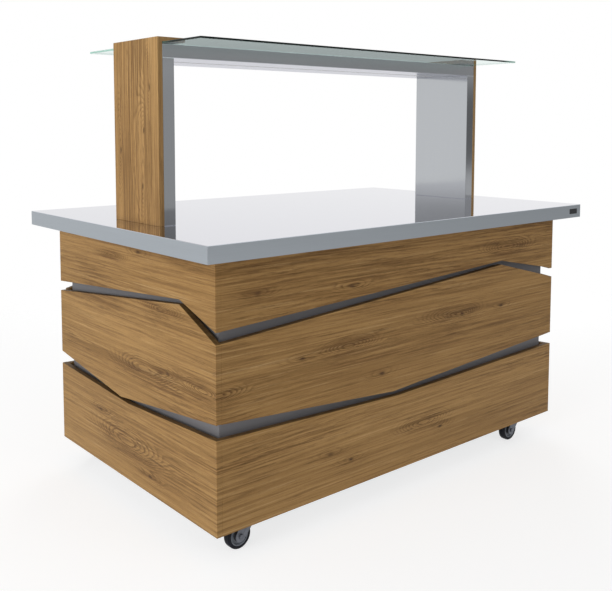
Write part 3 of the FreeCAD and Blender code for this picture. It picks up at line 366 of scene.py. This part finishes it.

# ---- Cladding ----
# Three boards high on every side, with a bent groove between each two. They are faced in oiled wood
# with level grain, edges too, and are screwed to softwood battens on the steel sheets. Their top and
# bottom faces are painted darker, a painted shade for the shade that lies in the grooves.


def oiled_wood(along, across, light, dark, edges, boldest, eyes, knots, repeated):
    """Wood with its grain along one direction. edges gives the axis that a board's edges face, and how much
    painted shade darkens the faces along it, to stand in for the shade they lie in. boldest is the strongest
    that the figure gets. An eye is an oval of the grain, as (centre, half length); a knot is a small dark
    spot. repeated puts both on the hidden sides too."""
    def stretch(length, width):
        return [length * a + width * b for a, b in zip(along, across)]

    def scaled(tree, point, size):
        return tree.node("VectorMath", {"operation": "MULTIPLY"}, {0: point, 1: size})

    def nearness(tree, point, size, centre, reach):
        """1 at the centre, falling to 0 at its reach."""
        goal = [c * k for c, k in zip(centre, size)]
        away = tree.node("VectorMath", {"operation": "DISTANCE"}, {0: point, 1: goal}, output="Value")
        return 1 - tree.smooth(away, 0.0, reach)

    def build(tree):
        place = tree.node("TexCoord", output="Object")
        spot = place
        if repeated:
            parts = tree.node("SeparateXYZ", {}, {0: place})
            side = tree.node("Math", {"operation": "SIGN"}, {0: -CORNER_SLOPE * parts - parts.out(1)})
            spot = tree.node("CombineXYZ", {}, {0: parts * side, 1: parts.out(1) * side, 2: parts.out(2)})
        oval, round_ = stretch(1.0, EYE_SLIMNESS), stretch(1.0, KNOT_SLIMNESS)
        in_oval, in_round = scaled(tree, spot, oval), scaled(tree, spot, round_)
        eye = swirl = knot = 0.0
        for centre, half in eyes:
            eye = eye + nearness(tree, in_oval, oval, centre, half)
        for centre in knots:
            swirl = swirl + nearness(tree, in_oval, oval, centre, KNOT_SWIRL)
            knot = knot + nearness(tree, in_round, round_, centre, KNOT_SIZE)
        slow = tree.noise(place, stretch(0.9, 4.0), 1.5, 0.5)
        ripple = tree.noise(place, stretch(5.0, 30), 5, 0.62)
        level = tree.node("VectorMath", {"operation": "DOT_PRODUCT"}, {0: place, 1: across}, output="Value")
        field = slow * WANDER + level * RINGS + eye * EYE_RINGS + swirl * SWIRL_RINGS + ripple * RIPPLE
        ring = tree.node("Math", {"operation": "FRACT"}, {0: field})
        late = tree.smooth(ring, 0.25, 0.8) * (1 - tree.smooth(ring, 0.82, 1.0))
        zone = tree.smooth(tree.noise(place, stretch(1.1, 7), 3), 0.42, 0.68)
        zone = tree.node("Math", {"operation": "MINIMUM"}, {0: zone * 0.6 + eye * 1.2 + swirl * 0.6, 1: boldest})
        streak = tree.noise(place, stretch(2.4, 150), 8, 0.68)
        band = tree.noise(place, stretch(1.6, 60), 5, 0.6)
        broken = tree.smooth(tree.noise(place, stretch(22, 210), 3, 0.6), 0.4, 0.6)
        dash = tree.smooth(tree.noise(place, stretch(9, 260), 5, 0.66), 0.54, 0.66)
        pore = tree.smooth(tree.noise(place, stretch(60, 1500), 2, 0.5), 0.55, 0.7)
        broad = tree.noise(place, stretch(0.6, 5), 2)
        base = tree.blend(tree.smooth(broad, 0.3, 0.7), srgb(light), srgb(dark))
        base = tree.blend((1 - tree.smooth(band, 0.36, 0.56)) * (0.35 + 0.5 * zone), base, srgb("7b5a2e"))
        base = tree.blend((1 - tree.smooth(streak, 0.36, 0.54)) * (0.45 + 0.5 * zone), base, srgb("704d25"))
        base = tree.blend(tree.smooth(streak, 0.54, 0.7) * 0.6, base, srgb("c7a472"))
        base = tree.blend(late * (0.05 + 0.85 * zone) * (0.3 + 0.7 * broken), base, srgb("573814"))
        base = tree.blend(dash * (0.3 + 0.5 * zone), base, srgb("4f3414"))
        base = tree.blend(pore * 0.3, base, srgb("553b1f"))
        heart = tree.node("Math", {"operation": "MINIMUM"}, {0: knot * (0.5 + 0.5 * broken), 1: 1.0})
        base = tree.blend(heart, base, srgb("3a210d"))
        # Painted shade: the faces that look along the given axis are darkened towards dark brown by the given amount,
        # to stand in for the shade they lie in, not a stain of the wood.
        axis, shade = edges
        facing = tree.node("SeparateXYZ", {}, {0: tree.node("NewGeometry", output="Normal")}, output=axis)
        edge = tree.smooth(tree.node("Math", {"operation": "ABSOLUTE"}, {0: facing}), 0.3, 0.6)
        base = tree.blend(edge * shade, base, srgb("2e2012"))
        relief = 0.5 * streak - 0.3 * late - 0.6 * pore - 0.5 * dash
        bump = tree.node("Bump", {}, {"Strength": 0.3, "Distance": 0.0004, "Height": relief})
        return tree.node("BsdfPrincipled", {}, {"Base Color": base, "Roughness": 0.5 + 0.14 * streak,
                                                "Specular IOR Level": 0.3, "Normal": bump})
    return build


def eased(name, width):
    """Softens a CAD node's hard edges with modifiers."""
    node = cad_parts[name]
    weld = node.modifiers.new("weld", "WELD")
    weld.merge_threshold = SAME_POINT
    bevel = node.modifiers.new("ease", "BEVEL")
    bevel.width, bevel.segments = width, 2
    bevel.limit_method, bevel.angle_limit = "ANGLE", math.radians(HARD_EDGE)
    bevel.harden_normals = False


# Rings of the grain: how many in a metre of height, and by how many the waves, eyes and knots shift them.
RINGS, WANDER, RIPPLE, EYE_RINGS, SWIRL_RINGS = 62, 9.0, 1.9, 9.0, 3.0
EYE_SLIMNESS, KNOT_SLIMNESS = 4.4, 2.2
KNOT_SIZE, KNOT_SWIRL = 0.018, 0.11
# A line over the body's two far corners divides the sides that have the eyes from those that repeat them.
CORNER_SLOPE = 0.613
SAME_POINT, HARD_EDGE, BOARD_EASE = 1e-6, 35, 0.0009
BOARD_EYES = [((-0.788, -0.10, 0.462), 0.26), ((-0.788, -0.42, 0.475), 0.16), ((-0.788, 0.10, 0.79), 0.15),
              ((-0.788, -0.20, 0.665), 0.16), ((-0.788, 0.02, 0.20), 0.3), ((0.2, -0.483, 0.555), 0.24),
              ((-0.30, -0.483, 0.53), 0.18), ((0.05, -0.483, 0.21), 0.2), ((0.5, -0.483, 0.76), 0.2)]
BOARD_KNOTS = [(-0.788, 0.19, 0.263), (-0.788, -0.071, 0.819), (-0.788, -0.236, 0.482), (-0.788, -0.127, 0.137),
               (-0.647, -0.483, 0.739), (-0.282, -0.483, 0.715), (0.247, -0.483, 0.55), (-0.151, -0.483, 0.417),
               (0.136, -0.483, 0.178), (-0.37, -0.483, 0.211), (-0.285, -0.483, 0.173), (-0.484, -0.483, 0.527),
               (0.467, -0.483, 0.55)]
# edges=(2, 0.62) paints shade on the tops and bottoms of the boards.
level_wood = finish("oiled_wood_level", oiled_wood(along=(1, 1, 0), across=(0, 0, 1), light="b28b55", dark="a27c48",
                                                   edges=(2, 0.62), boldest=1.0, eyes=BOARD_EYES,
                                                   knots=BOARD_KNOTS, repeated=True))
for name in nodes_like("cladding_"):
    if name != "cladding_battens":
        coat(level_wood, name)
        eased(name, BOARD_EASE)


def softwood(tree):
    place = tree.node("TexCoord", output="Object")
    ring = tree.noise(place, (70, 70, 1.5), 3)
    fibre = tree.noise(place, (500, 500, 12), 2)
    colour = tree.blend(tree.smooth(ring, 0.35, 0.65), srgb("d3b98c"), srgb("b9965f"))
    bump = tree.node("Bump", {}, {"Strength": 0.4, "Distance": 0.0005, "Height": fibre})
    return tree.node("BsdfPrincipled", {}, {"Base Color": colour, "Roughness": 0.7 + 0.15 * fibre, "Normal": bump})


coat(finish("softwood", softwood), "cladding_battens")

# ---- Worktop ----
# A skin of stainless sheet, mirror polished on top and satin on its folded edges, over a core board
# with the aluminium cold plate let into it. The top is also painted a lighter colour than the edges, as
# painted light. A small blank plate sits at the right end of the front.


def worktop_sheet(tree):
    place = tree.node("TexCoord", output="Object")
    facing = tree.node("SeparateXYZ", {}, {0: tree.node("NewGeometry", output="Normal")}, output=2)
    flat = tree.smooth(facing, 0.6, 0.95)
    cloud = tree.noise(place, (3, 3, 3), 3)
    brushed = tree.noise(place, (4, 4, 1200), 3, 0.6)
    # Painted light: the faces that look up take a lighter, bluer colour than the folded edges so that the polished
    # top reads brighter; the change of roughness between them is the real finish.
    colour = tree.blend(flat, tree.blend(brushed, srgb("bcc3c9"), srgb("c8cfd6")), srgb("d0d0d9"))
    roughness = (0.38 + 0.06 * brushed) * (1 - flat) + (0.035 + 0.03 * cloud) * flat
    bump = tree.node("Bump", {}, {"Strength": 0.05, "Distance": 0.0001, "Height": brushed})
    return tree.node("BsdfPrincipled", {}, {"Base Color": colour, "Metallic": 1.0, "Roughness": roughness,
                                            "Normal": bump})


def pressed_board(tree):
    place = tree.node("TexCoord", output="Object")
    chips = tree.node("TexVoronoi", {}, {"Vector": place, "Scale": 260.0}, output="Distance")
    colour = tree.blend(tree.smooth(chips, 0.1, 0.7), srgb("c9b48f"), srgb("a98d60"))
    bump = tree.node("Bump", {}, {"Strength": 0.4, "Distance": 0.0005, "Height": chips})
    return tree.node("BsdfPrincipled", {}, {"Base Color": colour, "Roughness": 0.8, "Normal": bump})


def dark_plate(tree):
    place = tree.node("TexCoord", output="Object")
    cloud = tree.noise(place, (150, 150, 150), 3)
    colour = tree.blend(cloud, srgb("15171a"), srgb("222529"))
    return tree.node("BsdfPrincipled", {}, {"Base Color": colour, "Roughness": 0.25 + 0.2 * cloud})


coat(finish("worktop_sheet", worktop_sheet), "worktop_skin")
coat(finish("pressed_board", pressed_board), "worktop_core")
coat(finish("dark_plate", dark_plate), "badge_plate")

# ---- Portal ----
# Two polished steel box posts and a box beam, screwed together and bolted through the worktop. Boards
# with upright grain close the outer sides, wooden caps cover the post ends, and a light strip lies in
# the beam's underside. The beam's underside is painted near white as a painted highlight, and the front
# and back faces of the boards and caps are painted darker as painted shade.


def polished_steel(roughness, grain, underside_highlight):
    """Steel polished along one direction; grain is so many waves a metre along X, Y and Z. The side that
    looks down is painted a colour of its own, a painted highlight for the light it catches from below."""
    def build(tree):
        place = tree.node("TexCoord", output="Object")
        cloud = tree.noise(place, (5, 5, 5), 3)
        brushed = tree.noise(place, grain, 3, 0.6)
        facing = tree.node("SeparateXYZ", {}, {0: tree.node("NewGeometry", output="Normal")}, output=2)
        # Painted highlight: the faces that look down take the given colour, near white on the beam.
        below = 1 - tree.smooth(facing, -0.9, -0.6)
        colour = tree.blend(below, tree.blend(brushed, srgb("c4c7cb"), srgb("cdd0d4")), srgb(underside_highlight))
        return tree.node("BsdfPrincipled", {}, {"Base Color": colour, "Metallic": 1.0,
                                                "Roughness": roughness + 0.05 * cloud,
                                                "Specular Tint": RAKING_TINT})
    return build


def opal_lens(tree):
    place = tree.node("TexCoord", output="Object")
    cloud = tree.noise(place, (30, 30, 30), 2)
    colour = tree.blend(cloud, srgb("e4e4e0"), srgb("efefec"))
    return tree.node("BsdfPrincipled", {}, {"Base Color": colour, "Roughness": 0.4 + 0.1 * cloud})


RAKING_TINT = (0.72, 0.72, 0.76, 1)
STEEL_EASE = 0.0012
coat(finish("polished_post", polished_steel(0.07, (900, 900, 4), "c4c7cb")), "post_left", "post_right")
# The beam's near-white underside colour is a painted highlight.
coat(finish("polished_beam", polished_steel(0.2, (4, 900, 900), "f0f1f4")), "beam")
for name in ("post_left", "post_right", "beam"):
    eased(name, STEEL_EASE)
coat(zinc, "portal_bolts")
coat(finish("opal_lens", opal_lens), "light_bar")
PORTAL_EYES = [((-0.748, -0.045, 1.10), 0.3), ((-0.748, 0.10, 1.15), 0.22), ((-0.748, -0.08, 1.34), 0.14)]
PORTAL_KNOTS = [(-0.748, -0.086, 1.316), (-0.748, -0.05, 1.188), (-0.748, -0.039, 1.014), (-0.748, 0.097, 1.124)]
# edges=(1, 0.28) paints shade on the front and back faces of the upright boards and caps.
upright_wood = finish("oiled_wood_upright", oiled_wood(along=(0, 0, 1), across=(1, 1, 0), light="c79e66",
                                                       dark="b48b55", edges=(1, 0.28), boldest=0.5,
                                                       eyes=PORTAL_EYES, knots=PORTAL_KNOTS, repeated=False))
for name in ("portal_board_left", "portal_board_right", "post_caps"):
    coat(upright_wood, name)
    eased(name, BOARD_EASE)

# ---- Glass shelf ----
# One sheet of clear toughened glass with ground and polished edges; the front of its rim is painted near
# black as painted shade. It lies on the beam, under the portal's caps, with soft clear pads on both sides
# of it.


def clear_glass(tree):
    """A tinted see-through share and a mirror share of both faces, by the angle at which the sheet is met
    and by a faint film of wiping marks."""
    place = tree.node("TexCoord", output="Object")
    cloud = tree.noise(place, (3, 3, 3), 2)
    entering = 1 - tree.node("NewGeometry", output="Backfacing")
    film = 0.96 + 0.08 * cloud
    through = tree.node("BsdfTransparent", {}, {"Color": srgb("f1f9f7")})
    mirror = tree.node("BsdfGlossy", {}, {"Color": srgb("f2f9f7"), "Roughness": 0.01})
    one_face = tree.node("Fresnel", {}, {"IOR": GLASS_IOR})
    both_faces = 2 * one_face / (1 + one_face)
    return tree.node("MixShader", {}, {0: both_faces * entering * film, 1: through, 2: mirror})


def ground_edge(tree):
    place = tree.node("TexCoord", output="Object")
    cloud = tree.noise(place, (25, 25, 25), 3)
    ground = tree.noise(place, (900, 900, 900), 2)
    parts = tree.node("SeparateXYZ", {}, {0: place})
    # Painted shade: the front stretch of the rim, short of the right end, is painted near black for the dark the edge
    # shows there; the rest of the rim is pale green.
    dark = (1 - tree.smooth(parts.out(1), -0.2, 0.0)) * (1 - tree.smooth(parts, 0.64, 0.725))
    colour = tree.blend(dark, tree.blend(cloud, srgb("a2d0c1"), srgb("b4dccf")),
                        tree.blend(cloud, srgb("07120f"), srgb("12221e")))
    bump = tree.node("Bump", {}, {"Strength": 0.15, "Distance": 0.0001, "Height": ground})
    return tree.node("BsdfPrincipled", {}, {"Base Color": colour, "Roughness": 0.18 + 0.1 * cloud,
                                            "Specular IOR Level": 0.3, "Normal": bump})


def rounded_sheet(name, low, high, corner, arris):
    """A flat sheet with rounded corners and a small arris all round; its rim takes the second material."""
    middle, reach = (low + high) / 2, (high - low) / 2
    shape = bmesh.new()

    def ring(inset, z):
        points = []
        for quarter, (sx, sy) in enumerate(((1, 1), (-1, 1), (-1, -1), (1, -1))):
            for step in range(CORNER_STEPS + 1):
                turn = math.radians(90 * quarter + 90 * step / CORNER_STEPS)
                x = middle.x + sx * (reach.x - corner) + (corner - inset) * math.cos(turn)
                y = middle.y + sy * (reach.y - corner) + (corner - inset) * math.sin(turn)
                points.append(shape.verts.new((x, y, z)))
        return points

    rings = [ring(arris, low.z), ring(0, low.z + arris), ring(0, high.z - arris), ring(arris, high.z)]
    for lower, upper in zip(rings, rings[1:]):
        for i in range(len(lower)):
            j = (i + 1) % len(lower)
            shape.faces.new((lower[i], lower[j], upper[j], upper[i])).material_index = 1
    shape.faces.new(list(reversed(rings[0])))
    shape.faces.new(rings[-1])
    mesh = bpy.data.meshes.new(name)
    shape.to_mesh(mesh)
    shape.free()
    return mesh


def soft_pad(tree):
    place = tree.node("TexCoord", output="Object")
    cloud = tree.noise(place, (60, 60, 60), 2)
    colour = tree.blend(cloud, srgb("c9cccc"), srgb("d8dada"))
    return tree.node("BsdfPrincipled", {}, {"Base Color": colour, "Roughness": 0.5 + 0.1 * cloud})


GLASS_IOR = 1.5
CORNER_STEPS = 6
glass_mesh = rounded_sheet("glass_sheet", *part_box("glass_shelf"), corner=0.005, arris=0.0008)
sheet = new_piece("glass_sheet", glass_mesh, [finish("clear_glass", clear_glass), finish("ground_edge", ground_edge)])
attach(sheet, "root")
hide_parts("glass_shelf")
coat(finish("soft_pad", soft_pad), "glass_pads")

# ---- Floor, light and camera ----
# A pale studio floor that fades into a white surround, with large soft lamps on the left and behind and
# a weak one in front. Metal mirrors a surround that is graded from light to grey, and the camera stands
# where the photograph was taken.

FLOOR_RADIUS, FLOOR_DROP, FLOOR_SIDES = 4.0, 0.0004, 96
FADE_START, FADE_END = 1.9, 3.6
outline = bmesh.new()
bmesh.ops.create_circle(outline, cap_ends=True, segments=FLOOR_SIDES, radius=FLOOR_RADIUS)
ground = bpy.data.meshes.new("floor")
outline.to_mesh(ground)
outline.free()
floor = bpy.data.objects.new("floor", ground)
floor.location.z = -FLOOR_DROP
bpy.context.scene.collection.objects.link(floor)


def seen(tree):
    """1 for a ray from the camera, a mirror or glass."""
    path = tree.node("LightPath")
    return path.math("MAXIMUM", path.out("Is Camera Ray"),
                     path.math("MAXIMUM", path.out("Is Glossy Ray"), path.out("Is Transmission Ray")))


def studio_floor(tree):
    place = tree.node("TexCoord", output="Object")
    reach = tree.node("VectorMath", {"operation": "LENGTH"}, {0: place}, output="Value")
    look = seen(tree)
    pale = tree.node("BsdfDiffuse", {}, {"Color": (0.8, 0.8, 0.8, 1)})
    soft = tree.node("BsdfDiffuse", {}, {"Color": (0.42, 0.42, 0.42, 1)})
    glow = tree.node("Emission", {}, {"Color": (1, 1, 1, 1), "Strength": 0.70})
    shown = tree.node("AddShader", {}, {0: soft, 1: glow})
    ground = tree.node("MixShader", {}, {0: look, 1: pale, 2: shown})
    clear = tree.node("BsdfTransparent")
    return tree.node("MixShader", {}, {0: tree.smooth(reach, FADE_START, FADE_END), 1: ground, 2: clear})


ground.materials.append(finish("studio_floor", studio_floor))

# The surround that metal and glass mirror, by direction: X and Y from -1 to 1, and the height above
# the horizon. Rays to the camera see plain white.
AMBIENT = 0.42
world = bpy.data.worlds.new("studio")
bpy.context.scene.world = world
world.use_nodes = True
tree = Tree(world.node_tree)
direction = tree.node("SeparateXYZ", {}, {0: tree.node("TexCoord", output="Generated")})
path = tree.node("LightPath")
mirror = path.out("Is Glossy Ray")
plain = path.math("MAXIMUM", path.out("Is Camera Ray"), path.out("Is Transmission Ray"))
height = direction.out(2)
graded = 0.34 + 0.06 * direction + 0.57 * tree.smooth(direction.out(1), -0.35, 0.45)
bright_wall = tree.node("VectorMath", {"operation": "DOT_PRODUCT"},
                          {0: tree.node("TexCoord", output="Generated"), 1: (-0.62, -0.78, 0.05)}, output="Value")
graded = graded + 0.9 * tree.smooth(bright_wall, 0.92, 0.985) + 0.6 * tree.smooth(height, 0.18, 0.34)
right = tree.smooth(direction, 0.6, 0.74)
front = 1 - tree.smooth(direction.out(1), -0.5, -0.3)
far_left = (1 - tree.smooth(direction, -0.3, -0.1)) * tree.smooth(direction.out(1), 0.1, 0.3)
horizon = tree.smooth(height, -0.06, -0.045) * (1 - tree.smooth(height, 0.03, 0.06))
rim = tree.smooth(height, 0.045, 0.075) * (1 - tree.smooth(height, 0.1, 0.14))
low_sky = tree.smooth(height, 0.07, 0.1) * (1 - tree.smooth(height, 0.22, 0.35))
graded = graded * (1 - 0.6 * right * front * horizon) + 0.08 * front * (1 - right) * rim
graded = graded * (1 - low_sky * (0.4 * front * (1 - right) + 0.5 * far_left)) * (1 - 0.06 * far_left)
downward = 1 - tree.smooth(height, -0.16, -0.1)
near_level = tree.smooth(height, -0.1, -0.08) * (1 - tree.smooth(height, -0.06, -0.045))
graded = graded * (1 - 0.3 * downward * far_left) + 0.15 * right * front * near_level
graded = graded.math("MINIMUM", graded, 1.0)
strength = plain + mirror * graded + (1 - plain - mirror) * AMBIENT
backdrop = tree.node("Background", {}, {"Color": (1, 1, 1, 1), "Strength": strength})
tree.node("OutputWorld", {}, {"Surface": backdrop})


def lamp(name, place, target, size, power):
    """A square area lamp that mirrors don't show."""
    light = bpy.data.lights.new(name, "AREA")
    light.shape, light.size, light.energy = "SQUARE", size, power
    holder = bpy.data.objects.new(name, light)
    holder.location = place
    holder.rotation_euler = (Vector(target) - Vector(place)).to_track_quat("-Z", "Y").to_euler()
    holder.visible_glossy = False
    bpy.context.scene.collection.objects.link(holder)


lamp("key_lamp", (-4.6, -0.9, 1.5), target=(0, 0, 0.7), size=2.8, power=102)
lamp("front_lamp", (0.8, -4.6, 2.2), target=(0, 0, 0.6), size=2.6, power=28)
lamp("back_lamp", (3.4, 3.4, 1.8), target=(0, 0, 0.7), size=2.8, power=98)

view = bpy.data.cameras.new("photo_camera")
view.sensor_width, view.lens = 36.0, 48.530
view.shift_x, view.shift_y = 0.02659, -0.16843
camera = bpy.data.objects.new("photo_camera", view)
camera.location = (-2.0134, -2.2665, 1.2044)
camera.rotation_euler = [math.radians(a) for a in (85.30, 0.0, -39.717)]
bpy.context.scene.collection.objects.link(camera)
bpy.context.scene.camera = camera
bpy.context.scene.view_settings.view_transform = "Standard"
